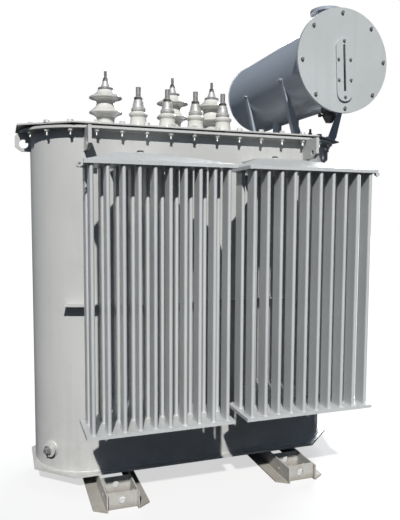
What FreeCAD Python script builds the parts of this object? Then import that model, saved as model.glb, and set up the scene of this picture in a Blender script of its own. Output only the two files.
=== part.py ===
import FreeCAD, Part
import math
import os

# Oil-filled three-phase distribution transformer, free-standing, in millimetres.
# +Z is up, the ground is z = 0, the low-voltage side faces -Y, and the oil
# conservator stands over the +X end.  Most pieces are placed about the tank's own
# upright centre line, and are moved along X when they are written, so that the row's
# origin is at the middle of the whole machine.

V = FreeCAD.Vector

# Tank: a flat-sided shell with two half-round ends
tank_half_width = 246.0
tank_arc_x = 479.5
tank_wall = 5.0
base_bottom = 70.0
base_thick = 8.0
flange_half_width = 290.0
flange_bottom = 1558.0
flange_thick = 10.0
gasket_half_width = 272.0
gasket_thick = 8.0
lid_thick = 6.0

# Octagonal plates: half length and half width of the long and the short edges
base_long_x = 576.0
base_long_y = 277.0
base_end_x = 738.0
base_end_y = 124.0
lid_long_x = 569.0
lid_long_y = 290.0
lid_end_x = 784.0
lid_end_y = 123.0

# Stiffening band round each long side of the tank
band_reach = 58.0
band_z = 816.0
band_thick = 6.0
band_end_angle = 29.0

# Radiators: two banks a side, two rows of ten flat oval tubes in each
radiator_x = 306.0
tubes_per_row = 10
tube_pitch = 56.5
tube_thick = 14.0
tube_depth = 68.0
tube_front_y = 722.0
row_pitch = 115.0
tube_bottom = 419.0
tube_top = 1374.0
header_half_length = 281.0
header_front_y = 730.0
header_rear_y = 531.0
header_lip = 13.0
hopper_rise = 61.0
hopper_y = 420.0
neck_half_width = 109.0
neck_height = 65.0

# Skids: a pair of angle rails with cross plates, under each half of the tank
skid_x = 410.0
web_outer = 68.0
web_thick = 6.0
rail_flange = 50.0
rail_half_length = 480.0
rail_chamfer = 34.0
cross_y = (456.0, 310.0)
cross_thick = 7.0
cross_hole_r = 14.5
axle_hole_r = 8.0
axle_y = 383.0

# Lifting lugs
lug_thick = 14.0
end_lug_x = 790.0
end_lug_bottom = 1480.0
end_lug_hole_x = 753.0
end_lug_hole_z = 1513.0
end_lug_hole_r = 20.0
side_lug_x = 514.0
side_lug_y = 375.0
side_lug_bottom = 1466.0
side_lug_nose = 1486.0
side_lug_hole_y = 341.0
side_lug_hole_z = 1493.0
side_lug_hole_r = 11.0

# Bushings
hv_x = (-370.5, -32.0, 185.0)
hv_y = (93.0, 114.0, 138.0)
hv_stud_top = 1883.0
lv_first_x = -258.0
lv_pitch = 136.0
lv_y = -113.0
lv_stud_top = 1775.0

# Oil conservator: a shell with a bolted cover in front and a closed end behind
cons_x = 618.5
cons_z = 1900.0
shell_r = 190.5
shell_wall = 4.0
cover_r = 231.0
cover_front_y = -406.0
cover_thick = 8.0
ring_thick = 8.0
shell_back_y = 507.0
rear_end_y = 525.0
cover_turn = 3.1

lid_bottom = flange_bottom + flange_thick + gasket_thick
lid_top = lid_bottom + lid_thick
foot_z = base_bottom + base_thick
tank_top = flange_bottom + flange_thick

# The middle of the machine, between the left lug's tip and the cover's right edge
tank_x = -(cons_x + cover_r - end_lug_x) / 2.0

os.makedirs("parts", exist_ok=True)


def write(name, solids):
    # Moves the solids from the tank's centre line to the row's origin.
    if not isinstance(solids, (list, tuple)):
        solids = [solids]
    flat = []
    for item in solids:
        flat.extend(item.Solids)
    shape = flat[0] if len(flat) == 1 else Part.makeCompound(flat)
    shape = shape.copy()
    shape.translate(V(tank_x, 0, 0))
    for solid in shape.Solids:
        if not solid.isValid():
            print("invalid solid in", name)
    shape.exportStep("parts/" + name + ".step")
    print(name, len(shape.Solids), round(shape.Volume / 1e6, 3), "litres")


def box(x0, x1, y0, y1, z0, z1):
    return Part.makeBox(x1 - x0, y1 - y0, z1 - z0, V(x0, y0, z0))


def prism(points, direction):
    # Extrudes a flat polygon along a direction.
    wire = Part.makePolygon(list(points) + [points[0]])
    return Part.Face(wire).extrude(direction)


def obround(half_width, z0, z1):
    # Flat-sided outline with half-round ends, centred on the tank.
    r = half_width
    a = tank_arc_x
    right = Part.Arc(V(a, -r, z0), V(a + r, 0, z0), V(a, r, z0)).toShape()
    left = Part.Arc(V(-a, r, z0), V(-a - r, 0, z0), V(-a, -r, z0)).toShape()
    back = Part.makeLine(V(a, r, z0), V(-a, r, z0))
    front = Part.makeLine(V(-a, -r, z0), V(a, -r, z0))
    wire = Part.Wire([right, back, left, front])
    return Part.Face(wire).extrude(V(0, 0, z1 - z0))


def octagon(long_x, long_y, end_x, end_y, z0, z1):
    points = []
    for sx, sy in ((1, 1), (-1, 1), (-1, -1), (1, -1)):
        pair = [V(sx * end_x, sy * end_y, z0), V(sx * long_x, sy * long_y, z0)]
        if sx * sy < 0:
            pair.reverse()
        points.extend(pair)
    return prism(points, V(0, 0, z1 - z0))


def hull_of_frustum(lower, upper):
    # Solid between two flat four-sided outlines with matching corners, all of whose
    # side faces are split into triangles so that each is flat.
    faces = []
    faces.append(Part.Face(Part.makePolygon(lower + [lower[0]])))
    faces.append(Part.Face(Part.makePolygon(upper + [upper[0]])))
    n = len(lower)
    for i in range(n):
        j = (i + 1) % n
        a, b, c, d = lower[i], lower[j], upper[j], upper[i]
        faces.append(Part.Face(Part.makePolygon([a, b, c, a])))
        faces.append(Part.Face(Part.makePolygon([a, c, d, a])))
    shell = Part.Shell(faces)
    solid = Part.Solid(shell)
    if solid.Volume < 0:
        solid.reverse()
    return solid


def turned(profile, x, y):
    # Solid of revolution about an upright line, from (radius, z) points.
    points = [V(r, 0, z) for r, z in profile]
    wire = Part.makePolygon(points + [points[0]])
    solid = Part.Face(wire).revolve(V(0, 0, 0), V(0, 0, 1), 360)
    solid = Part.Solid(solid.Shells[0]) if not solid.Solids else solid.Solids[0]
    solid.translate(V(x, y, 0))
    return solid


def hexagon(across, x, y, z0, z1):
    r = across / math.sqrt(3)
    points = []
    for i in range(6):
        a = math.radians(60 * i)
        points.append(V(x + r * math.cos(a), y + r * math.sin(a), z0))
    return prism(points, V(0, 0, z1 - z0))


# ---- tank ------------------------------------------------------------------------
outer = obround(tank_half_width, foot_z, tank_top)
inner = obround(tank_half_width - tank_wall, foot_z, tank_top)
write("tank_wall", outer.cut(inner))
write("base_plate", octagon(base_long_x, base_long_y, base_end_x, base_end_y,
                            base_bottom, foot_z))
ring = obround(flange_half_width, flange_bottom, tank_top)
ring = ring.cut(obround(tank_half_width, flange_bottom, tank_top))
write("tank_flange", ring)
seal = obround(gasket_half_width, tank_top, lid_bottom)
seal = seal.cut(obround(tank_half_width - tank_wall, tank_top, lid_bottom))
write("lid_gasket", seal)
write("lid", octagon(lid_long_x, lid_long_y, lid_end_x, lid_end_y, lid_bottom, lid_top))


def wall_band(side):
    # Flat bar on edge along one long side, running a little way round both ends.
    reach = 700.0
    a = math.radians(band_end_angle)
    z0 = band_z
    z1 = band_z + band_thick
    solid = obround(tank_half_width + band_reach, z0, z1)
    solid = solid.cut(obround(tank_half_width, z0, z1))
    near = [V(-tank_arc_x, 0, z0), V(tank_arc_x, 0, z0)]
    far = [V(tank_arc_x + reach * math.sin(a), side * reach * math.cos(a), z0),
           V(-tank_arc_x - reach * math.sin(a), side * reach * math.cos(a), z0)]
    return solid.common(prism(near + far, V(0, 0, z1 - z0)))


write("front_wall_band", wall_band(-1))
write("back_wall_band", wall_band(1))


# ---- radiators -------------------------------------------------------------------
def flat_tube(x, y_front):
    # One flat oval tube; its length is upright and its narrow edge faces out.
    r = tube_thick / 2.0
    y0 = -y_front + r
    y1 = -y_front + tube_depth - r
    z = tube_bottom
    tip = Part.Arc(V(x - r, y0, z), V(x, y0 - r, z), V(x + r, y0, z)).toShape()
    tail = Part.Arc(V(x + r, y1, z), V(x, y1 + r, z), V(x - r, y1, z)).toShape()
    right = Part.makeLine(V(x + r, y0, z), V(x + r, y1, z))
    left = Part.makeLine(V(x - r, y1, z), V(x - r, y0, z))
    wire = Part.Wire([tip, right, tail, left])
    return Part.Face(wire).extrude(V(0, 0, tube_top - tube_bottom))


def tube_bank(x):
    tubes = []
    for row in range(2):
        for i in range(tubes_per_row):
            dx = (i - (tubes_per_row - 1) / 2.0) * tube_pitch
            tubes.append(flat_tube(x + dx, tube_front_y - row * row_pitch))
    return tubes


def header(x, up):
    # A tray that the tubes enter, a hopper that narrows towards the tank, and the
    # flat neck that joins it to the tank wall.  up is 1 on top and -1 underneath.
    z0 = tube_top if up > 0 else tube_bottom
    z1 = z0 + up * header_lip
    z_top = z1 + up * hopper_rise
    half = header_half_length
    yf = -header_front_y
    yr = -header_rear_y
    yn = -hopper_y
    n = neck_half_width
    zn = z_top - up * neck_height
    tray = box(x - half, x + half, yf, yr, min(z0, z1), max(z0, z1))
    lower = [V(x - half, yf, z1), V(x + half, yf, z1),
             V(x + half, yr, z1), V(x - half, yr, z1)]
    upper = [V(x - n, yn, z_top), V(x + n, yn, z_top), V(x + n, yn, zn), V(x - n, yn, zn)]
    hopper = hull_of_frustum(lower, upper)
    under = [V(x - half, yr, z1), V(x + half, yr, z1),
             V(x + half, yr, z0), V(x - half, yr, z0)]
    mouth = [V(x - n, yn, zn + up * 2.0), V(x + n, yn, zn + up * 2.0),
             V(x + n, yn, zn), V(x - n, yn, zn)]
    hopper_floor = hull_of_frustum(under, mouth)
    neck = box(x - n, x + n, yn, -200.0, min(z_top, zn), max(z_top, zn))
    neck = neck.cut(obround(tank_half_width, min(z_top, zn) - 5, max(z_top, zn) + 5))
    solid = tray.fuse([hopper, hopper_floor, neck]).removeSplitter()
    return solid


def sling_eye(end):
    # Small eye for a sling, on the outer end of a top header.
    z0 = tube_top
    y0 = -header_front_y + 22.0
    xe = end * (radiator_x + header_half_length)
    eye = prism([V(xe, y0, z0 + 12), V(xe + end * 22, y0, z0 + 1),
                 V(xe + end * 22, y0, z0 - 7), V(xe + end * 13, y0, z0 - 13),
                 V(xe, y0, z0 - 6)], V(0, 6.0, 0))
    hole = Part.makeCylinder(5.0, 30, V(xe + end * 12, y0 - 10, z0 - 1), V(0, 1, 0))
    return eye.cut(hole)


def half_turn(solid):
    # The same piece on the other side of the tank.
    turned_solid = solid.copy()
    turned_solid.rotate(V(0, 0, 0), V(0, 0, 1), 180)
    return turned_solid


all_eyes = []
for end, end_name, across in ((-1, "left", "right"), (1, "right", "left")):
    cx = end * radiator_x
    all_eyes.append(sling_eye(end))
    all_eyes.append(half_turn(all_eyes[-1]))
    top = header(cx, 1)
    bottom = header(cx, -1)
    tubes = tube_bank(cx)
    write("front_" + end_name + "_radiator_top_header", top)
    write("front_" + end_name + "_radiator_bottom_header", bottom)
    write("front_" + end_name + "_radiator_tubes", tubes)
    write("back_" + across + "_radiator_top_header", half_turn(top))
    write("back_" + across + "_radiator_bottom_header", half_turn(bottom))
    write("back_" + across + "_radiator_tubes", [half_turn(t) for t in tubes])
write("radiator_sling_eyes", all_eyes)


# ---- skids -----------------------------------------------------------------------
def rail(x, out):
    # Angle rail: an upright web, and a flange on the ground that turns outwards.
    xw = x + out * web_outer
    xi = xw - out * web_thick
    xf = xw + out * rail_flange
    web = box(min(xi, xw), max(xi, xw), -rail_half_length, rail_half_length, 0, base_bottom)
    l = rail_half_length
    c = rail_chamfer
    flange = prism([V(xw, -l, 0), V(xf, -l + c, 0), V(xf, l - c, 0), V(xw, l, 0)],
                   V(0, 0, web_thick))
    solid = web.fuse(flange).removeSplitter()
    for sy in (-1, 1):
        hole = Part.makeCylinder(axle_hole_r, 40, V(xw - 20, sy * axle_y, 36), V(1, 0, 0))
        solid = solid.cut(hole)
    return solid


for end, end_name in ((-1, "left"), (1, "right")):
    cx = end * skid_x
    write(end_name + "_skid_rails", [rail(cx, -1), rail(cx, 1)])
    half = web_outer - web_thick
    plates = []
    for sy in (-1, 1):
        for yy in cross_y:
            plate = box(cx - half, cx + half, sy * yy - cross_thick / 2,
                        sy * yy + cross_thick / 2, 0, base_bottom)
            hole = Part.makeCylinder(cross_hole_r, 40, V(cx, sy * yy - 20, 36), V(0, 1, 0))
            plates.append(plate.cut(hole))
    write(end_name + "_skid_cross_plates", plates)


# ---- lifting lugs ----------------------------------------------------------------
def end_lug(end):
    t = lug_thick / 2.0
    z0 = end_lug_bottom
    z1 = flange_bottom
    tip = end_lug_x
    outline = [(700.0, z0), (tip - 26, z0), (tip, z0 + 20), (tip, z1 - 12),
               (tip - 12, z1), (700.0, z1)]
    plate = prism([V(end * x, -t, z) for x, z in outline], V(0, lug_thick, 0))
    plate = plate.cut(obround(tank_half_width, z0 - 5, z1 + 5))
    hole = Part.makeCylinder(end_lug_hole_r, 60, V(end * end_lug_hole_x, -30, end_lug_hole_z),
                             V(0, 1, 0))
    return plate.cut(hole)


write("left_end_lifting_lug", end_lug(-1))
write("right_end_lifting_lug", end_lug(1))


def side_lug(x, side):
    z1 = flange_bottom
    tip = side_lug_y
    outline = [(200.0, z1), (tip, z1), (tip, side_lug_nose), (tip - 29, side_lug_bottom),
               (200.0, side_lug_bottom)]
    plate = prism([V(x - lug_thick / 2, side * y, z) for y, z in outline], V(lug_thick, 0, 0))
    plate = plate.cut(obround(tank_half_width, z1 - 100, z1 + 5))
    hole = Part.makeCylinder(side_lug_hole_r, 60,
                             V(x - 30, side * side_lug_hole_y, side_lug_hole_z), V(1, 0, 0))
    return plate.cut(hole)


write("front_lifting_lugs", [side_lug(-side_lug_x, -1), side_lug(side_lug_x, -1)])
write("back_lifting_lugs", [side_lug(-side_lug_x, 1), side_lug(side_lug_x, 1)])

# ---- high-voltage bushings -------------------------------------------------------
# Ribbed porcelain: a foot, a stem, two wide sheds and a head, as (radius, z).
hv_profile = [(0, lid_top), (50, lid_top), (50, 1604), (43, 1609), (41, 1650),
              (44, 1666), (60, 1679), (77, 1685), (78.5, 1689), (74, 1694),
              (60, 1704), (47, 1717), (42, 1731), (45, 1744), (62, 1752),
              (77, 1755), (78.5, 1759), (72, 1764), (56, 1772), (44, 1781),
              (38, 1790), (36, 1794), (0, 1794)]
hv_bodies = []
hv_tops = []
for x, y in zip(hv_x, hv_y):
    hv_bodies.append(turned(hv_profile, x, y))
    cap = turned([(0, 1794), (33, 1794), (36, 1796), (36, 1804), (33, 1806), (23, 1809),
                  (17, 1824), (12, 1843), (0, 1843)], x, y)
    stud = Part.makeCylinder(6.5, hv_stud_top - 1843, V(x, y, 1843))
    hv_tops.append(cap.fuse(stud))
write("hv_porcelains", hv_bodies)
write("hv_terminals", hv_tops)

# ---- low-voltage bushings --------------------------------------------------------
lv_profile = [(0, lid_top), (42, lid_top), (42, 1596), (39, 1606), (36, 1625),
              (35, 1640), (41, 1648), (43, 1655), (36, 1662), (27, 1668), (0, 1668)]
lv_bodies = []
lv_tops = []
for i in range(4):
    x = lv_first_x + i * lv_pitch
    lv_bodies.append(turned(lv_profile, x, lv_y))
    cap = turned([(0, 1668), (31, 1668), (32, 1672), (32, 1680), (28, 1683), (26, 1690),
                  (21, 1714), (19, 1718), (0, 1718)], x, lv_y)
    nut = hexagon(31, x, lv_y, 1718, 1732)
    stud = Part.makeCylinder(11, lv_stud_top - 1732, V(x, lv_y, 1732))
    lv_tops.append(cap.fuse([nut, stud]))
write("lv_porcelains", lv_bodies)
write("lv_terminals", lv_tops)

# ---- oil conservator -------------------------------------------------------------
along = V(0, 1, 0)
ring_y = cover_front_y + cover_thick
shell = Part.makeCylinder(shell_r, shell_back_y - ring_y, V(cons_x, ring_y, cons_z), along)
rim = Part.makeCylinder(cover_r, ring_thick, V(cons_x, ring_y, cons_z), along)
bore = Part.makeCylinder(shell_r - shell_wall, 1100, V(cons_x, ring_y - 20, cons_z), along)
write("conservator_shell", shell.fuse(rim).cut(bore).removeSplitter())

cover = Part.makeCylinder(cover_r, cover_thick, V(cons_x, cover_front_y, cons_z), along)
write("conservator_cover", cover)

rear = Part.makeCylinder(shell_r, rear_end_y - shell_back_y,
                         V(cons_x, shell_back_y, cons_z), along)
edges = [e for e in rear.Edges if abs(e.CenterOfMass.y - rear_end_y) < 0.01
         and isinstance(e.Curve, Part.Circle)]
rear = rear.makeFillet(14.0, edges)
hollow = Part.makeCylinder(shell_r - shell_wall, rear_end_y - shell_back_y - shell_wall,
                           V(cons_x, shell_back_y, cons_z), along)
hollow_edges = [e for e in hollow.Edges if isinstance(e.Curve, Part.Circle)
                and e.CenterOfMass.y > shell_back_y + 1]
hollow = hollow.makeFillet(10.0, hollow_edges)
write("conservator_rear_end", rear.cut(hollow))


# The oil gauge: a flat glass strip under an obround frame, low on the cover
def upright_obround(half_width, length, y0, y1, x, z):
    s = length / 2.0 - half_width
    w = half_width
    top = Part.Arc(V(x - w, y0, z + s), V(x, y0, z + s + w), V(x + w, y0, z + s)).toShape()
    low = Part.Arc(V(x + w, y0, z - s), V(x, y0, z - s - w), V(x - w, y0, z - s)).toShape()
    right = Part.makeLine(V(x + w, y0, z + s), V(x + w, y0, z - s))
    left = Part.makeLine(V(x - w, y0, z - s), V(x - w, y0, z + s))
    wire = Part.Wire([top, right, low, left])
    return Part.Face(wire).extrude(V(0, y1 - y0, 0))


gauge_z = cons_z - 42.0
gauge_y = cover_front_y


def on_cover(solid):
    # The cover and what is on it are turned a little about the shell's axis.
    solid.rotate(V(cons_x, 0, cons_z), V(0, 1, 0), -cover_turn)
    return solid


gauge = upright_obround(40, 278, gauge_y - 9, gauge_y, cons_x, gauge_z)
slot = upright_obround(6, 206, gauge_y - 20, gauge_y + 10, cons_x, gauge_z + 8)
glass = upright_obround(6, 206, gauge_y - 5, gauge_y, cons_x, gauge_z + 8)
write("oil_gauge_frame", on_cover(gauge.cut(slot)))
write("oil_gauge_glass", on_cover(glass))

# Filler neck and cap on top, and the drain sump underneath near the front
body = Part.makeCylinder(shell_r, 960, V(cons_x, -430, cons_z), along)
filler_y = -250.0
filler_top = 2166.0
neck = Part.makeCylinder(42, filler_top - 14 - cons_z, V(cons_x, filler_y, cons_z)).cut(body)
cap = Part.makeCylinder(75, 14, V(cons_x, filler_y, filler_top - 14))
write("conservator_filler", neck.fuse(cap).removeSplitter())

sump_x = 616.0
sump_y = -300.0
plug = Part.makeCylinder(37, 60, V(sump_x, sump_y, 1686)).cut(body)
cup = turned([(0, 1640), (16, 1640), (31, 1668), (31, 1686), (0, 1686)], sump_x, sump_y)
knob = Part.makeCylinder(5, 24, V(sump_x - 26, sump_y, 1672), V(-1, 0, 0))
knob_head = Part.makeCylinder(9, 10, V(sump_x - 46, sump_y, 1672), V(-1, 0, 0))
write("drain_sump", plug.fuse([cup, knob, knob_head]).removeSplitter())


# Legs: tapered plates with a lip along the outer edge, each on a foot plate.  The
# outer edge leans in from the foot up to where it meets the shell's side.
def leg(y, foot_x, top_x, top_z, foot_width):
    t = 6.0
    top_width = 10.0
    z0 = lid_top + 8.0
    sign = 1.0 if foot_x < cons_x else -1.0
    web = prism([V(foot_x, y, z0), V(foot_x + sign * foot_width, y, z0),
                 V(top_x + sign * top_width, y, top_z), V(top_x, y, top_z)], V(0, t, 0))
    lip = prism([V(foot_x, y, z0), V(foot_x + sign * 5, y, z0),
                 V(top_x + sign * 5, y, top_z), V(top_x, y, top_z)], V(0, 30.0, 0))
    below_shell = web.fuse(lip).removeSplitter().cut(body)
    return max(below_shell.Solids, key=lambda solid: solid.Volume)


mirror_x = 2.0 * cons_x
left_legs = [leg(-166.0, 509.0, 431.0, 1858.0, 40.0),
             leg(253.0, 495.0, 431.0, 1858.0, 15.0)]
right_legs = [leg(-166.0, mirror_x - 497.0, mirror_x - 431.0, 1858.0, 46.0),
              leg(150.0, 700.0, 700.0, 1800.0, 26.0)]
write("conservator_left_legs", left_legs)
write("conservator_right_legs", right_legs)
feet = [box(498, 566, -172, -122, lid_top, lid_top + 8),
        box(484, 558, 236, 286, lid_top, lid_top + 8),
        box(686, 742, -168, -118, lid_top, lid_top + 8),
        box(672, 712, 144, 194, lid_top, lid_top + 8)]
trim = octagon(lid_long_x, lid_long_y, lid_end_x, lid_end_y, lid_top, lid_top + 8)
write("conservator_feet", [foot.common(trim) for foot in feet])

# Pipe between the lid and the conservator, with its flange on the lid
pipe_x = 600.0
pipe_y = 212.0
pipe = Part.makeCylinder(24, 260, V(pipe_x, pipe_y, lid_top)).cut(body)
pipe = Part.makeCompound([s for s in pipe.Solids if s.CenterOfMass.z < 1800]).Solids[0]
pipe_flange = Part.makeCylinder(44, 12, V(pipe_x, pipe_y, lid_top))
write("connecting_pipe", pipe.fuse(pipe_flange).removeSplitter())

# ---- tank drain ------------------------------------------------------------------
drain_z = 173.0
drain_angle = math.radians(41.3)
drain_dir = V(-math.cos(drain_angle), -math.sin(drain_angle), 0)
drain_root = V(-tank_arc_x, 0, drain_z)
boss = Part.makeCylinder(31, 66, drain_root + drain_dir * 200.0, drain_dir)
boss = boss.cut(obround(tank_half_width, 100, 250))
write("tank_drain_boss", boss)
plug_at = drain_root + drain_dir * 266.0
plug = Part.makeCylinder(19, 10, plug_at, drain_dir)
square = Part.makeBox(17, 17, 14, V(-8.5, -8.5, 0))
square.rotate(V(0, 0, 0), V(0, 1, 0), 90)
square.rotate(V(0, 0, 0), V(0, 0, 1), 180 + math.degrees(drain_angle))
square.translate(plug_at + drain_dir * 10.0)
write("tank_drain_plug", plug.fuse(square))
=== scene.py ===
import math

import bmesh
import bpy
from mathutils import Matrix, Vector


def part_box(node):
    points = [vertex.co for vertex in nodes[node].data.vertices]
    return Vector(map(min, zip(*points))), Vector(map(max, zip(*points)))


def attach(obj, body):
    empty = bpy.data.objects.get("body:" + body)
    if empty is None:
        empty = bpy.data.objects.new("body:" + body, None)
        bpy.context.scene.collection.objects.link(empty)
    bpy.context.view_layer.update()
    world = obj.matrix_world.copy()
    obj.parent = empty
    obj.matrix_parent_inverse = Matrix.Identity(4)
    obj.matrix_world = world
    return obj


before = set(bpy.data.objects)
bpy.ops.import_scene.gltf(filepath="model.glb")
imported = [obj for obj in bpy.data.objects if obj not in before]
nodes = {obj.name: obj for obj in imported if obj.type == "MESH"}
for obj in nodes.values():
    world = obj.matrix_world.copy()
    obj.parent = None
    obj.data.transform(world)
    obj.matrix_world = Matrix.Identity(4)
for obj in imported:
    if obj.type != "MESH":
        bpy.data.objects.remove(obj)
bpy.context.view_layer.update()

# Looks of the oil-filled power transformer.  Everything is in metres in the frame of the
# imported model: +Z up, ground at z = 0, the low-voltage side facing -Y.

# ---- places read from the frame ------------------------------------------------------
tank_low, tank_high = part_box("tank_wall")
tank_x = (tank_low.x + tank_high.x) / 2
tank_r = tank_high.y
arc_x = (tank_high.x - tank_low.x) / 2 - tank_r
base_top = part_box("base_plate")[1].z
flange_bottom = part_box("tank_flange")[0].z
lid_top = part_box("lid")[1].z
cover_low, cover_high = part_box("conservator_cover")
cons_x = (cover_low.x + cover_high.x) / 2
cons_z = (cover_low.z + cover_high.z) / 2
cover_front = cover_low.y
rear_low, rear_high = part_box("conservator_rear_end")
shell_r = (rear_high.x - rear_low.x) / 2
cover_turn = math.radians(-3.1)


# ---- material helpers ----------------------------------------------------------------
class Paint:
    """One node material with a Principled shader and a few shared helpers."""

    def __init__(self, name, colour, roughness, metallic=0.0, coat=0.0):
        self.material = bpy.data.materials.new(name)
        self.material.use_nodes = True
        self.nodes = self.material.node_tree.nodes
        self.links = self.material.node_tree.links
        self.shader = self.nodes["Principled BSDF"]
        self.shader.inputs["Metallic"].default_value = metallic
        self.shader.inputs["Coat Weight"].default_value = coat
        self.shader.inputs["Coat Roughness"].default_value = 0.18
        self.shader.inputs["Roughness"].default_value = roughness
        coords = self.nodes.new("ShaderNodeTexCoord")
        self.place = coords.outputs["Object"]
        self.colour = None
        self.start = colour
        self.material.diffuse_color = (*colour, 1.0)

    def noise(self, scale, detail=3.0, stretch=(1.0, 1.0, 1.0)):
        mapping = self.nodes.new("ShaderNodeMapping")
        mapping.inputs["Scale"].default_value = stretch
        texture = self.nodes.new("ShaderNodeTexNoise")
        texture.inputs["Scale"].default_value = scale
        texture.inputs["Detail"].default_value = detail
        self.links.new(self.place, mapping.inputs["Vector"])
        self.links.new(mapping.outputs["Vector"], texture.inputs["Vector"])
        return texture.outputs["Fac"]

    def span(self, value, low, high, out_low=0.0, out_high=1.0):
        node = self.nodes.new("ShaderNodeMapRange")
        node.inputs["From Min"].default_value = low
        node.inputs["From Max"].default_value = high
        node.inputs["To Min"].default_value = out_low
        node.inputs["To Max"].default_value = out_high
        self.links.new(value, node.inputs["Value"])
        return node.outputs["Result"]

    def times(self, a, b):
        node = self.nodes.new("ShaderNodeMath")
        node.operation = "MULTIPLY"
        self.links.new(a, node.inputs[0])
        if isinstance(b, float):
            node.inputs[1].default_value = b
        else:
            self.links.new(b, node.inputs[1])
        return node.outputs[0]

    def axis(self, which, normal=False):
        node = self.nodes.new("ShaderNodeSeparateXYZ")
        if normal:
            geometry = self.nodes.new("ShaderNodeNewGeometry")
            self.links.new(geometry.outputs["Normal"], node.inputs[0])
        else:
            self.links.new(self.place, node.inputs[0])
        return node.outputs[which]

    def stain(self, colour, amount):
        """Lays a second colour over what is there, by a 0 to 1 amount."""
        node = self.nodes.new("ShaderNodeMix")
        node.data_type = "RGBA"
        if self.colour is None:
            node.inputs[6].default_value = (*self.start, 1.0)
        else:
            self.links.new(self.colour, node.inputs[6])
        node.inputs[7].default_value = (*colour, 1.0)
        self.links.new(amount, node.inputs[0])
        self.colour = node.outputs[2]

    def rough(self, value, low, high):
        self.links.new(self.span(value, 0.3, 0.7, low, high), self.shader.inputs["Roughness"])

    def bump(self, value, height):
        node = self.nodes.new("ShaderNodeBump")
        node.inputs["Strength"].default_value = 0.6
        node.inputs["Distance"].default_value = height
        self.links.new(value, node.inputs["Height"])
        self.links.new(node.outputs["Normal"], self.shader.inputs["Normal"])

    def done(self):
        if self.colour is not None:
            self.links.new(self.colour, self.shader.inputs["Base Color"])
        return self.material


def shade(colour, factor):
    return tuple(c * factor for c in colour)


def enamel(name, colour, roughness, coat, top_darkening=0.25, splash=0.35):
    """Sprayed machine enamel: soft clouding, rain streaks, darker patches on up-facing faces,
    splashes low down.
    """
    paint = Paint(name, colour, roughness, coat=coat)
    clouds = paint.noise(2.6, 4.0)
    streaks = paint.noise(9.0, 3.0, (3.0, 3.0, 0.16))
    fine = paint.noise(70.0, 4.0)
    paint.stain(shade(colour, 0.86), paint.span(clouds, 0.35, 0.75))
    paint.stain(shade(colour, 0.80), paint.span(streaks, 0.54, 0.80, 0.0, 0.55))
    paint.stain(shade(colour, 0.90), paint.span(fine, 0.50, 0.70, 0.0, 0.5))
    # Up-facing faces turn a darker grey-brown in noisy patches.
    up = paint.span(paint.axis(2, normal=True), 0.55, 0.98)
    upward_darkening = paint.times(up, paint.span(paint.noise(11.0, 5.0), 0.30, 0.70, 0.35, 1.0))
    paint.stain((0.40, 0.39, 0.36), paint.times(upward_darkening, top_darkening))
    low = paint.span(paint.axis(2), 0.42, 0.06)
    dirt = paint.times(low, paint.span(paint.noise(16.0, 6.0), 0.42, 0.72))
    paint.stain((0.27, 0.25, 0.22), paint.times(dirt, splash))
    specks = paint.noise(160.0, 2.0)
    paint.stain(shade(colour, 0.45), paint.span(specks, 0.71, 0.76, 0.0, 0.6))
    paint.rough(paint.noise(30.0, 3.0), roughness - 0.06, roughness + 0.08)
    paint.bump(paint.noise(330.0, 2.0), 0.00025)
    return paint.done()


def bare_metal(name, colour, roughness, rust=0.0, metallic=0.85):
    paint = Paint(name, colour, roughness, metallic=metallic)
    paint.stain(shade(colour, 0.7), paint.span(paint.noise(90.0, 3.0), 0.4, 0.7))
    if rust:
        spots = paint.span(paint.noise(55.0, 5.0), 0.48, 0.62, 0.0, rust)
        paint.stain((0.16, 0.085, 0.045), spots)
    paint.rough(paint.noise(120.0, 3.0), roughness - 0.08, roughness + 0.12)
    paint.bump(paint.noise(420.0, 2.0), 0.0002)
    return paint.done()


def terminal_metal(name, colour):
    """Silver-grey cap with a darker ring at its foot and a dark stud above it."""
    paint = Paint(name, colour, 0.46, metallic=0.35)
    ring_top = 1.807
    cap_top = 1.835
    height = paint.axis(2)
    paint.stain(shade(colour, 0.45), paint.span(height, ring_top + 0.0005, ring_top - 0.0005))
    paint.stain((0.10, 0.10, 0.098), paint.span(height, cap_top - 0.001, cap_top + 0.001))
    paint.stain(shade(colour, 0.7), paint.span(paint.noise(110.0, 3.0), 0.48, 0.70, 0.0, 0.5))
    paint.rough(paint.noise(120.0, 3.0), 0.42, 0.6)
    paint.bump(paint.noise(420.0, 2.0), 0.0002)
    return paint.done()


def smooth_enamel(name, colour, roughness):
    """Clean glossy enamel on a rolled shell, with only faint clouding."""
    paint = Paint(name, colour, roughness, coat=0.4)
    paint.stain(shade(colour, 0.93), paint.span(paint.noise(1.8, 2.0), 0.35, 0.75))
    up = paint.span(paint.axis(2, normal=True), 0.7, 1.0)
    paint.stain((0.40, 0.39, 0.36), paint.times(up, 0.06))
    paint.rough(paint.noise(5.0, 1.0), roughness - 0.02, roughness + 0.03)
    return paint.done()


def glazed(name, colour, roughness):
    paint = Paint(name, colour, roughness, coat=0.6)
    paint.shader.inputs["Coat Roughness"].default_value = 0.06
    paint.stain(shade(colour, 0.93), paint.span(paint.noise(14.0, 3.0), 0.35, 0.7))
    upward_darkening = paint.span(paint.axis(2, normal=True), 0.5, 1.0, 0.0, 0.28)
    paint.stain((0.50, 0.48, 0.43), upward_darkening)
    paint.rough(paint.noise(40.0, 2.0), roughness - 0.03, roughness + 0.06)
    paint.bump(paint.noise(60.0, 1.0), 0.0002)
    return paint.done()


def rubber(name, colour):
    paint = Paint(name, colour, 0.75)
    paint.stain(shade(colour, 2.2), paint.span(paint.noise(80.0, 4.0), 0.45, 0.75, 0.0, 0.6))
    paint.rough(paint.noise(50.0, 2.0), 0.65, 0.85)
    paint.bump(paint.noise(500.0, 2.0), 0.0002)
    return paint.done()


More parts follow.
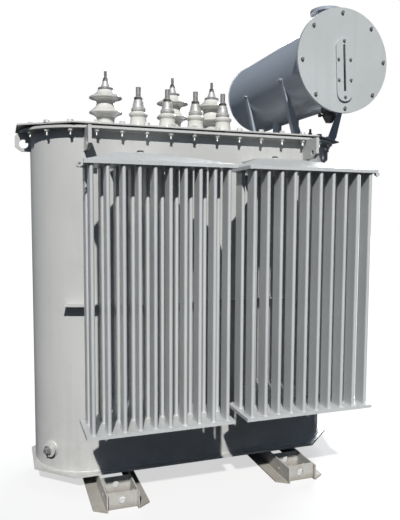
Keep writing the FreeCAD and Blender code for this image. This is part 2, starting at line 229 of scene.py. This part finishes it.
def gauge_tube(name, colour):
    """Old gauge glass with dark oil behind it, darker below the oil line."""
    paint = Paint(name, colour, 0.12, coat=0.8)
    level = cons_z - 0.02
    height = paint.axis(2)
    paint.stain((0.012, 0.011, 0.010), paint.span(height, level + 0.004, level - 0.004))
    paint.stain(shade(colour, 1.6), paint.span(paint.noise(40.0, 3.0), 0.55, 0.75, 0.0, 0.3))
    paint.bump(paint.noise(90.0, 1.0), 0.0002)
    return paint.done()


def skid_steel(name, colour):
    """Painted angle steel that stands in dirt: thin paint, brown grime, darker at the foot, small
    dark brown flecks.
    """
    paint = Paint(name, colour, 0.6)
    paint.stain(shade(colour, 0.86), paint.span(paint.noise(7.0, 5.0), 0.35, 0.7))
    grime = paint.span(paint.noise(26.0, 6.0), 0.40, 0.68)
    paint.stain((0.33, 0.30, 0.26), paint.times(grime, 0.5))
    low = paint.span(paint.axis(2), 0.03, 0.0)
    paint.stain((0.17, 0.14, 0.11), paint.times(low, 0.5))
    paint.stain((0.16, 0.12, 0.09), paint.span(paint.noise(120.0, 4.0), 0.66, 0.74, 0.0, 0.5))
    paint.rough(paint.noise(34.0, 3.0), 0.5, 0.75)
    paint.bump(paint.noise(180.0, 4.0), 0.0006)
    return paint.done()


tank_grey = (0.48, 0.485, 0.475)
finish = {
    "tank_paint": enamel("tank_paint", shade(tank_grey, 0.95), 0.42, 0.15),
    "radiator_paint": enamel("radiator_paint", (0.47, 0.485, 0.49), 0.40, 0.15, 0.20),
    "conservator_paint": smooth_enamel("conservator_paint", (0.31, 0.345, 0.395), 0.30),
    "cover_paint": enamel("cover_paint", (0.43, 0.455, 0.46), 0.42, 0.15, 0.2),
    "skid_paint": skid_steel("skid_paint", (0.445, 0.44, 0.415)),
    "seal": rubber("seal", (0.012, 0.012, 0.013)),
    "porcelain": glazed("porcelain", (0.56, 0.555, 0.52), 0.16),
    "zinc_steel": bare_metal("zinc_steel", (0.62, 0.62, 0.60), 0.34),
    "aluminium_cap": bare_metal("aluminium_cap", (0.42, 0.42, 0.41), 0.55, metallic=0.4),
    "gauge_glass": gauge_tube("gauge_glass", (0.05, 0.055, 0.05)),
    "pale_zinc": bare_metal("pale_zinc", (0.66, 0.66, 0.64), 0.46, metallic=0.35),
    "bolt_steel": bare_metal("bolt_steel", (0.24, 0.24, 0.235), 0.5, metallic=0.5),
    "hv_terminal": terminal_metal("hv_terminal", (0.42, 0.425, 0.42)),
    "dark_steel": bare_metal("dark_steel", (0.13, 0.128, 0.125), 0.5, rust=0.15),
}

slots_of_nodes = {
    "radiator_paint": ["radiator_sling_eyes"],
    "skid_paint": ["left_skid_rails", "right_skid_rails", "left_skid_cross_plates",
                   "right_skid_cross_plates"],
    "conservator_paint": ["conservator_shell", "conservator_rear_end", "conservator_filler",
                          "conservator_left_legs", "conservator_right_legs",
                          "conservator_feet", "connecting_pipe"],
    "cover_paint": ["conservator_cover", "oil_gauge_frame"],
    "seal": ["lid_gasket"],
    "porcelain": ["hv_porcelains", "lv_porcelains"],
    "zinc_steel": ["tank_drain_plug"],
    "dark_steel": ["drain_sump"],
    "hv_terminal": ["hv_terminals"],
    "aluminium_cap": ["lv_terminals"],
    "gauge_glass": ["oil_gauge_glass"],
}
finish_of_node = {}
for slot_name, names in slots_of_nodes.items():
    for node_name in names:
        finish_of_node[node_name] = slot_name
for node_name, obj in nodes.items():
    default = "radiator_paint" if "radiator" in node_name else "tank_paint"
    material = finish[finish_of_node.get(node_name, default)]
    if not obj.material_slots:
        obj.data.materials.append(material)
    for material_slot in obj.material_slots:
        material_slot.material = material


# ---- mesh helpers --------------------------------------------------------------------
def piece(name, mesh, look, smooth_angle=35.0):
    """Turns a bmesh into a piece that rides on the fixed body."""
    bmesh.ops.recalc_face_normals(mesh, faces=mesh.faces)
    data = bpy.data.meshes.new(name)
    mesh.to_mesh(data)
    mesh.free()
    data.shade_smooth()
    data.set_sharp_from_angle(angle=math.radians(smooth_angle))
    data.materials.append(finish[look])
    obj = bpy.data.objects.new(name, data)
    bpy.context.scene.collection.objects.link(obj)
    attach(obj, "root")
    return obj


def standing(x, y, z, turn=0.0):
    """Place with its own axis upright."""
    return Matrix.Translation((x, y, z)) @ Matrix.Rotation(turn, 4, "Z")


def facing(point, direction, turn=0.0):
    """Place with its own axis along a direction."""
    aim = Vector(direction).to_track_quat("Z", "Y").to_matrix().to_4x4()
    return Matrix.Translation(point) @ aim @ Matrix.Rotation(turn, 4, "Z")


def turned(mesh, place, profile, sides=20, phase=0.0):
    """Solid of revolution, or a prism with few sides, from (radius, height) points."""
    rings = []
    for radius, height in profile:
        ring = []
        for i in range(sides):
            a = 2 * math.pi * i / sides + phase
            ring.append(mesh.verts.new(place @ Vector((radius * math.cos(a),
                                                       radius * math.sin(a), height))))
        rings.append(ring)
    for lower, upper in zip(rings, rings[1:]):
        for i in range(sides):
            j = (i + 1) % sides
            mesh.faces.new((lower[i], lower[j], upper[j], upper[i]))
    mesh.faces.new(list(reversed(rings[0])))
    mesh.faces.new(rings[-1])


def hex_head(mesh, place, across, height, start=0.0):
    """Hexagon with its corners taken off at the outer end."""
    r = across / math.sqrt(3)
    turned(mesh, place, [(r, start), (r, start + height * 0.78),
                         (r * 0.86, start + height)], 6)


def washer(mesh, place, radius, thick, start=0.0):
    turned(mesh, place, [(radius, start), (radius, start + thick * 0.7),
                         (radius - thick * 0.3, start + thick)], 20)


def thread(mesh, place, radius, length, start=0.0, pitch=0.003):
    """Threaded rod, with a groove to each turn."""
    turns = max(2, int(length / pitch))
    profile = []
    for i in range(turns):
        h = start + length * i / turns
        profile.append((radius, h))
        profile.append((radius * 0.90, h + length * 0.5 / turns))
    profile.append((radius, start + length * 0.98))
    profile.append((radius * 0.7, start + length))
    turned(mesh, place, profile, 12)


def bead(mesh, points, radius, closed=False, ripple=0.16, sides=7):
    """Weld bead along a line, with the ripples of a hand weld."""
    rings = []
    count = len(points)
    for k, point in enumerate(points):
        before = points[(k - 1) % count] if closed or k > 0 else point
        after = points[(k + 1) % count] if closed or k < count - 1 else point
        along = (after - before).normalized()
        side = along.orthogonal().normalized() if abs(along.z) > 0.9 else \
            along.cross(Vector((0, 0, 1))).normalized()
        up = side.cross(along)
        r = radius * (1.0 + ripple * math.sin(k * 2.4) + 0.5 * ripple * math.sin(k * 0.53))
        ring = []
        for i in range(sides):
            a = 2 * math.pi * i / sides
            ring.append(mesh.verts.new(point + side * (r * math.cos(a)) + up * (r * math.sin(a))))
        rings.append(ring)
    pairs = list(zip(rings, rings[1:]))
    if closed:
        pairs.append((rings[-1], rings[0]))
    for lower, upper in pairs:
        for i in range(sides):
            j = (i + 1) % sides
            mesh.faces.new((lower[i], lower[j], upper[j], upper[i]))
    if not closed:
        mesh.faces.new(list(reversed(rings[0])))
        mesh.faces.new(rings[-1])


def line(a, b, step=0.006):
    a = Vector(a)
    b = Vector(b)
    count = max(2, int((b - a).length / step))
    return [a.lerp(b, i / count) for i in range(count + 1)]


def circle(centre, radius, axis, step=0.006, start=0.0, sweep=2 * math.pi):
    place = facing(centre, axis)
    count = max(12, int(radius * abs(sweep) / step))
    closed = abs(sweep) >= 2 * math.pi - 1e-6
    last = count if closed else count + 1
    points = []
    for i in range(last):
        a = start + sweep * i / count
        points.append(place @ Vector((radius * math.cos(a), radius * math.sin(a), 0)))
    return points


def slab(mesh, low, high, bevel=0.0015):
    """Box with eased edges."""
    made = bmesh.ops.create_cube(mesh, size=1.0)
    for vert in made["verts"]:
        for k in range(3):
            vert.co[k] = low[k] if vert.co[k] < 0 else high[k]
    edges = list({e for v in made["verts"] for e in v.link_edges})
    bmesh.ops.bevel(mesh, geom=edges, offset=bevel, segments=2, affect="EDGES")


def oval_point(radius, distance):
    """Point and outward direction on the tank's flat-sided oval at this half width,
    a distance along it from the middle of the front, going towards +X."""
    curve = math.pi * radius
    d = distance % (4 * arc_x + 2 * curve)
    if d < arc_x:
        return Vector((tank_x + d, -radius, 0)), Vector((0, -1, 0))
    d -= arc_x
    if d < curve:
        a = d / radius - math.pi / 2
        out = Vector((math.cos(a), math.sin(a), 0))
        return Vector((tank_x + arc_x, 0, 0)) + out * radius, out
    d -= curve
    if d < 2 * arc_x:
        return Vector((tank_x + arc_x - d, radius, 0)), Vector((0, 1, 0))
    d -= 2 * arc_x
    if d < curve:
        a = d / radius + math.pi / 2
        out = Vector((math.cos(a), math.sin(a), 0))
        return Vector((tank_x - arc_x, 0, 0)) + out * radius, out
    d -= curve
    return Vector((tank_x - arc_x + d, -radius, 0)), Vector((0, -1, 0))


def oval_line(radius, z, step=0.006):
    total = 4 * arc_x + 2 * math.pi * radius
    count = int(total / step)
    points = []
    for i in range(count):
        point = oval_point(radius, total * i / count)[0]
        points.append(Vector((point.x, point.y, z)))
    return points


# ---- bolts round the lid -------------------------------------------------------------
bolt_line = 0.274
bolt_count = 34
head_across = 0.022


def lid_bolt_places():
    """Evenly spaced round the lid, leaving out the one over each end lifting lug."""
    total = 4 * arc_x + 2 * math.pi * bolt_line
    pitch = total / bolt_count
    for i in range(bolt_count):
        point, out = oval_point(bolt_line, 0.010 + pitch * (i + 0.5))
        over_lug = abs(point.y) < 0.04
        if not over_lug:
            yield i, point, out


heads = bmesh.new()
nuts = bmesh.new()
tails = bmesh.new()
for i, point, out in lid_bolt_places():
    turn = i * 0.7
    up = standing(point.x, point.y, lid_top, turn)
    washer(heads, up, 0.0145, 0.0025)
    hex_head(heads, up, head_across, 0.009, 0.0025)
    down = facing((point.x, point.y, flange_bottom), (0, 0, -1), turn + 0.4)
    washer(nuts, down, 0.013, 0.0025)
    hex_head(nuts, down, 0.020, 0.010, 0.0025)
    thread(tails, down, 0.006, 0.016, 0.0125)
piece("lid_bolt_heads", heads, "pale_zinc")
piece("lid_bolt_nuts", nuts, "pale_zinc")
piece("lid_bolt_tails", tails, "zinc_steel")

# ---- welds of the tank ---------------------------------------------------------------
welds = bmesh.new()
bead(welds, oval_line(tank_r + 0.001, base_top + 0.001), 0.0055, closed=True)
bead(welds, oval_line(tank_r + 0.001, flange_bottom - 0.001), 0.0045, closed=True)
for side in ("front", "back"):
    low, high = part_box(side + "_wall_band")
    sign = -1 if side == "front" else 1
    for z in (low.z, high.z):
        bead(welds, line((tank_x - arc_x, sign * tank_r, z), (tank_x + arc_x, sign * tank_r, z)),
             0.0035)
    lugs_low, lugs_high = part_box(side + "_lifting_lugs")
    half_thick = 0.007
    for end in (lugs_low.x + half_thick, lugs_high.x - half_thick):
        for edge in (-half_thick, half_thick):
            x = end + edge
            reach = abs(x - tank_x) - arc_x
            y = sign * math.sqrt(tank_r ** 2 - max(reach, 0.0) ** 2)
            bead(welds, line((x, y, lugs_low.z), (x, y, flange_bottom)), 0.004)
for end in ("left", "right"):
    low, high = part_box(end + "_end_lifting_lug")
    x = tank_low.x if end == "left" else tank_high.x
    for y in (low.y, high.y):
        bead(welds, line((x, y, low.z), (x, y, high.z)), 0.004)
piece("tank_welds", welds, "tank_paint", 60.0)

# ---- radiators -----------------------------------------------------------------------
banks = [side + "_" + end for side in ("front", "back") for end in ("left", "right")]
neck_half = 0.109
neck_height = 0.065
plug_y = 0.408
header_welds = bmesh.new()
plugs = bmesh.new()
bosses = bmesh.new()
for bank in banks:
    sign = -1 if bank.startswith("front") else 1
    for level in ("top", "bottom"):
        low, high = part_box(bank + "_radiator_" + level + "_header")
        x = (low.x + high.x) / 2
        neck_top = high.z if level == "top" else low.z + neck_height
        neck_bottom = neck_top - neck_height
        y = sign * tank_r
        outline = [(x - neck_half, y, neck_bottom), (x + neck_half, y, neck_bottom),
                   (x + neck_half, y, neck_top), (x - neck_half, y, neck_top)]
        points = []
        for k in range(4):
            points.extend(line(outline[k], outline[(k + 1) % 4])[:-1])
        bead(header_welds, points, 0.0045, closed=True)
        if level == "bottom":
            continue
        shift = 0.012 if (sign < 0) == bank.endswith("left") else 0.022
        at = standing(x + sign * shift, sign * plug_y, neck_top)
        turned(bosses, at, [(0.018, -0.004), (0.018, 0.002), (0.0155, 0.004)], 20)
        hex_head(plugs, at, 0.024, 0.008, 0.003)
piece("header_welds", header_welds, "radiator_paint", 60.0)
piece("bleed_plug_bosses", bosses, "radiator_paint")
piece("bleed_plugs", plugs, "dark_steel")

tube_thick = 0.014
tube_depth = 0.068
tube_pitch = 0.0565
tubes_per_row = 10
row_pitch = 0.115


def tube_outline(x, y_front, z, grow, arc_steps=6):
    """Line round one flat oval tube, a little outside it."""
    r = tube_thick / 2 + grow
    inner = tube_thick / 2
    points = []
    for k in range(arc_steps + 1):
        a = math.pi + math.pi * k / arc_steps
        points.append(Vector((x + r * math.cos(a), y_front + inner + r * math.sin(a), z)))
    for k in range(arc_steps + 1):
        a = math.pi * k / arc_steps
        y = y_front + tube_depth - inner
        points.append(Vector((x + r * math.cos(a), y + r * math.sin(a), z)))
    return points


for bank in banks:
    collars = bmesh.new()
    low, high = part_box(bank + "_radiator_tubes")
    middle = (low.x + high.x) / 2
    front = bank.startswith("front")
    for row in range(2):
        y_front = low.y + row * row_pitch if front else high.y - tube_depth - row * row_pitch
        for i in range(tubes_per_row):
            x = middle + (i - (tubes_per_row - 1) / 2) * tube_pitch
            for z in (low.z + 0.0005, high.z - 0.0005):
                bead(collars, tube_outline(x, y_front, z, 0.0005), 0.003, closed=True,
                     ripple=0.10, sides=6)
    piece(bank + "_tube_welds", collars, "radiator_paint", 60.0)

# ---- conservator ---------------------------------------------------------------------
cover_bolts = bmesh.new()
cover_washers = bmesh.new()
bolt_circle = 0.2095
ring_back = cover_front + 0.016
for i in range(8):
    a = cover_turn + math.radians(45.0 * i)
    x = cons_x - bolt_circle * math.cos(a)
    z = cons_z + bolt_circle * math.sin(a)
    front = facing((x, cover_front, z), (0, -1, 0), 0.3 * i)
    washer(cover_washers, front, 0.010, 0.002)
    hex_head(cover_bolts, front, 0.014, 0.007, 0.002)
    back = facing((x, ring_back, z), (0, 1, 0), 0.5 * i)
    washer(cover_washers, back, 0.010, 0.002)
    hex_head(cover_bolts, back, 0.014, 0.009, 0.002)
    thread(cover_bolts, back, 0.004, 0.010, 0.011)
piece("cover_bolts", cover_bolts, "bolt_steel")
piece("cover_washers", cover_washers, "cover_paint")

shell_welds = bmesh.new()
bead(shell_welds, circle((cons_x, ring_back, cons_z), shell_r + 0.001, (0, 1, 0)), 0.005,
     closed=True)
bead(shell_welds, circle((cons_x, rear_low.y, cons_z), shell_r, (0, 1, 0)), 0.0035,
     closed=True)
filler_low, filler_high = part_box("conservator_filler")
filler_x = (filler_low.x + filler_high.x) / 2
filler_y = (filler_low.y + filler_high.y) / 2
neck_r = 0.042
rim = []
for k in range(60):
    a = 2 * math.pi * k / 60
    x = filler_x + (neck_r + 0.001) * math.cos(a)
    z = cons_z + math.sqrt(shell_r ** 2 - (x - cons_x) ** 2)
    rim.append(Vector((x, filler_y + (neck_r + 0.001) * math.sin(a), z)))
bead(shell_welds, rim, 0.0045, closed=True)
tabs = bmesh.new()
legs_low, legs_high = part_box("conservator_left_legs")
for y in (legs_low.y, legs_high.y - 0.030):
    slab(tabs, (legs_low.x - 0.013, y - 0.003, legs_high.z - 0.0065),
         (legs_low.x + 0.006, y + 0.033, legs_high.z))
piece("leg_tabs", tabs, "cover_paint")
piece("conservator_welds", shell_welds, "conservator_paint", 60.0)


# ---- gauge screws --------------------------------------------------------------------
gauge_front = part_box("oil_gauge_frame")[0].y
gauge_z = cons_z - 0.042
turn_about_shell = (Matrix.Translation((cons_x, 0, cons_z))
                    @ Matrix.Rotation(cover_turn, 4, "Y")
                    @ Matrix.Translation((-cons_x, 0, -cons_z)))
screws = bmesh.new()
for dx, dz in ((0.0, 0.126), (-0.031, 0.045), (0.031, 0.045), (-0.031, -0.045),
               (0.031, -0.045), (0.0, -0.120)):
    spot = turn_about_shell @ Vector((cons_x + dx, gauge_front, gauge_z + dz))
    at = facing(spot, (0, -1, 0), dx * 30)
    washer(screws, at, 0.0075, 0.0015)
    hex_head(screws, at, 0.010, 0.0055, 0.0015)
piece("gauge_screws", screws, "bolt_steel")

# ---- bushings ------------------------------------------------------------------------
hv_cap_nut_z = 1.832
hv_stud_nut_z = 1.843
hv_places = [(-0.3705, 0.093), (-0.032, 0.114), (0.185, 0.138)]
flanges = bmesh.new()
claws = bmesh.new()
terminal_nuts = bmesh.new()
for n, (x, y) in enumerate(hv_places):
    x += tank_x
    at = standing(x, y, lid_top)
    turned(flanges, at, [(0.066, 0.0), (0.066, 0.006), (0.063, 0.009), (0.052, 0.010),
                         (0.052, 0.013)], 40)
    for k in range(4):
        a = math.radians(45 + 90 * k + 10 * n)
        px = x + 0.063 * math.cos(a)
        py = y + 0.063 * math.sin(a)
        stud = standing(px, py, lid_top, a)
        thread(claws, stud, 0.005, 0.034, 0.0)
        hex_head(claws, stud, 0.016, 0.008, 0.024)
        inner = Vector((x + 0.047 * math.cos(a), y + 0.047 * math.sin(a), lid_top + 0.021))
        outer = Vector((x + 0.074 * math.cos(a), y + 0.074 * math.sin(a), lid_top + 0.021))
        tip = Vector((outer.x, outer.y, lid_top + 0.009))
        bead(claws, [inner, inner.lerp(outer, 0.5), outer, tip], 0.0055, ripple=0.0, sides=8)
    top = standing(x, y, 0.0)
    hex_head(terminal_nuts, top, 0.024, 0.011, hv_cap_nut_z)
    hex_head(terminal_nuts, top, 0.020, 0.009, hv_stud_nut_z)
piece("hv_base_flanges", flanges, "dark_steel")
piece("hv_base_clamps", claws, "dark_steel")
piece("hv_terminal_nuts", terminal_nuts, "dark_steel")

lv_low, lv_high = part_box("lv_terminals")
lv_stud_z = 1.732
lv_nut_z = 1.7175
lv_cap_r = 0.032
lv_first = lv_low.x + lv_cap_r
lv_pitch = (lv_high.x - lv_low.x - 2 * lv_cap_r) / 3
lv_y = (lv_low.y + lv_high.y) / 2
lv_rings = bmesh.new()
lv_studs = bmesh.new()
for i in range(4):
    at = standing(lv_first + i * lv_pitch, lv_y, 0.0)
    turned(lv_rings, at, [(0.046, lid_top), (0.046, lid_top + 0.003), (0.044, lid_top + 0.004)],
           32)
    thread(lv_studs, at, 0.0118, lv_high.z - lv_stud_z - 0.0005, lv_stud_z, 0.0035)
    hex_head(lv_studs, at, 0.034, 0.014, lv_nut_z)
piece("lv_base_gaskets", lv_rings, "seal")
piece("lv_studs", lv_studs, "dark_steel")

# ---- small things on the lid ---------------------------------------------------------
fittings = bmesh.new()
stud_at = standing(tank_x + 0.538, -0.262, lid_top)
thread(fittings, stud_at, 0.006, 0.030)
hex_head(fittings, stud_at, 0.018, 0.008, 0.004)
piece("lid_stud", fittings, "dark_steel")

foot_bolts = bmesh.new()
pipe_low, pipe_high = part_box("connecting_pipe")
pipe_x = (pipe_low.x + pipe_high.x) / 2
pipe_y = (pipe_low.y + pipe_high.y) / 2
for k in range(4):
    a = math.radians(45 + 90 * k)
    at = standing(pipe_x + 0.0345 * math.cos(a), pipe_y + 0.0345 * math.sin(a), lid_top + 0.012, a)
    hex_head(foot_bolts, at, 0.015, 0.008)
piece("pipe_flange_bolts", foot_bolts, "zinc_steel")

# ---- drain ---------------------------------------------------------------------------
boss_low, boss_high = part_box("tank_drain_boss")
drain_angle = math.radians(41.3)
drain_out = Vector((-math.cos(drain_angle), -math.sin(drain_angle), 0))
drain_z = (boss_low.z + boss_high.z) / 2
drain_root = Vector((tank_x - arc_x, 0, drain_z))
drain_ring = bmesh.new()
bead(drain_ring, circle(drain_root + drain_out * (tank_r + 0.001), 0.0315, drain_out), 0.0045,
     closed=True)
turned(drain_ring, facing(drain_root + drain_out * 0.262, drain_out),
       [(0.0325, 0.0), (0.0335, 0.002), (0.0325, 0.0045), (0.025, 0.0050)], 36)
piece("drain_boss_ring", drain_ring, "tank_paint")

# ---- skids ---------------------------------------------------------------------------
cross_plate_y = (-0.456, -0.310, 0.310, 0.456)
skid_welds = bmesh.new()
for end in ("left", "right"):
    low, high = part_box(end + "_skid_cross_plates")
    rail_low, rail_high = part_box(end + "_skid_rails")
    for y in cross_plate_y:
        outer_face = y - 0.0035 if y < 0 else y + 0.0035
        for x in (low.x, high.x):
            bead(skid_welds, line((x, outer_face, 0.004), (x, outer_face, high.z - 0.002)), 0.004)
    web = 0.068
    middle = (rail_low.x + rail_high.x) / 2
    for edge in (-web, web):
        x = middle + edge
        bead(skid_welds, line((x, -0.27, rail_high.z), (x, 0.27, rail_high.z)), 0.0035)
piece("skid_welds", skid_welds, "skid_paint", 60.0)

# ---- stage, light and camera ---------------------------------------------------------
floor_mesh = bmesh.new()
bmesh.ops.create_grid(floor_mesh, x_segments=1, y_segments=1, size=30.0)
floor_data = bpy.data.meshes.new("floor")
floor_mesh.to_mesh(floor_data)
floor_mesh.free()
floor = bpy.data.objects.new("floor", floor_data)
bpy.context.scene.collection.objects.link(floor)
floor_paint = Paint("floor", (0.25, 0.25, 0.25), 0.9)
floor_paint.stain((0.24, 0.24, 0.24), floor_paint.noise(0.6, 2.0))
floor_paint.shader.inputs["Emission Color"].default_value = (0.62, 0.62, 0.62, 1.0)
floor_paint.shader.inputs["Emission Strength"].default_value = 1.0
floor_data.materials.append(floor_paint.done())


def seen_only(tree, shown, unseen, output):
    """Shows one shader to the camera, and lets the other one light the object."""
    path = tree.nodes.new("ShaderNodeLightPath")
    mix = tree.nodes.new("ShaderNodeMixShader")
    tree.links.new(path.outputs["Is Camera Ray"], mix.inputs[0])
    tree.links.new(unseen, mix.inputs[1])
    tree.links.new(shown, mix.inputs[2])
    tree.links.new(mix.outputs[0], output)


floor_tree = floor_paint.material.node_tree
dull = floor_tree.nodes.new("ShaderNodeBsdfDiffuse")
dull.inputs["Color"].default_value = (0.025, 0.025, 0.025, 1.0)
seen_only(floor_tree, floor_paint.shader.outputs[0], dull.outputs[0],
          floor_tree.nodes["Material Output"].inputs["Surface"])

world = bpy.data.worlds.new("studio")
bpy.context.scene.world = world
world.use_nodes = True
fill = world.node_tree.nodes["Background"]
fill.inputs["Color"].default_value = (0.72, 0.90, 1.2, 1.0)
fill.inputs["Strength"].default_value = 0.18
backdrop = world.node_tree.nodes.new("ShaderNodeBackground")
backdrop.inputs["Color"].default_value = (1.0, 1.0, 1.0, 1.0)
seen_only(world.node_tree, backdrop.outputs[0], fill.outputs[0],
          world.node_tree.nodes["World Output"].inputs["Surface"])


def sun(name, towards, energy, softness, colour):
    lamp = bpy.data.lights.new(name, "SUN")
    lamp.energy = energy
    lamp.angle = math.radians(softness)
    lamp.color = colour
    obj = bpy.data.objects.new(name, lamp)
    obj.rotation_mode = "QUATERNION"
    obj.rotation_quaternion = Vector(towards).to_track_quat("Z", "Y")
    bpy.context.scene.collection.objects.link(obj)


sun("key", (-0.2347, -0.7336, 0.6379), 5.05, 1.2, (1.0, 0.985, 0.96))
sun("back_fill", (0.55, 0.75, 0.45), 2.6, 25.0, (0.95, 0.97, 1.0))

camera_place = Vector((-0.88299, -2.71414, 1.18952))
heading = math.radians(19.204)
pitch = math.radians(-4.682)
roll = math.radians(0.294)
forward = Vector((math.sin(heading) * math.cos(pitch), math.cos(heading) * math.cos(pitch),
                  math.sin(pitch)))
level_right = Vector((math.cos(heading), -math.sin(heading), 0.0))
level_up = level_right.cross(forward)
right = level_right * math.cos(roll) + level_up * math.sin(roll)
up = level_up * math.cos(roll) - level_right * math.sin(roll)
camera_data = bpy.data.cameras.new("camera")
camera_data.sensor_width = 36.0
camera_data.lens = 39.89
camera_data.shift_x = -0.0048
camera_data.shift_y = 0.0101
camera_data.clip_start = 0.05
camera = bpy.data.objects.new("camera", camera_data)
rotation = Matrix((right, up, -forward)).transposed()
camera.matrix_world = Matrix.Translation(camera_place) @ rotation.to_4x4()
bpy.context.scene.collection.objects.link(camera)
bpy.context.scene.camera = camera
bpy.context.scene.view_settings.view_transform = "Standard"
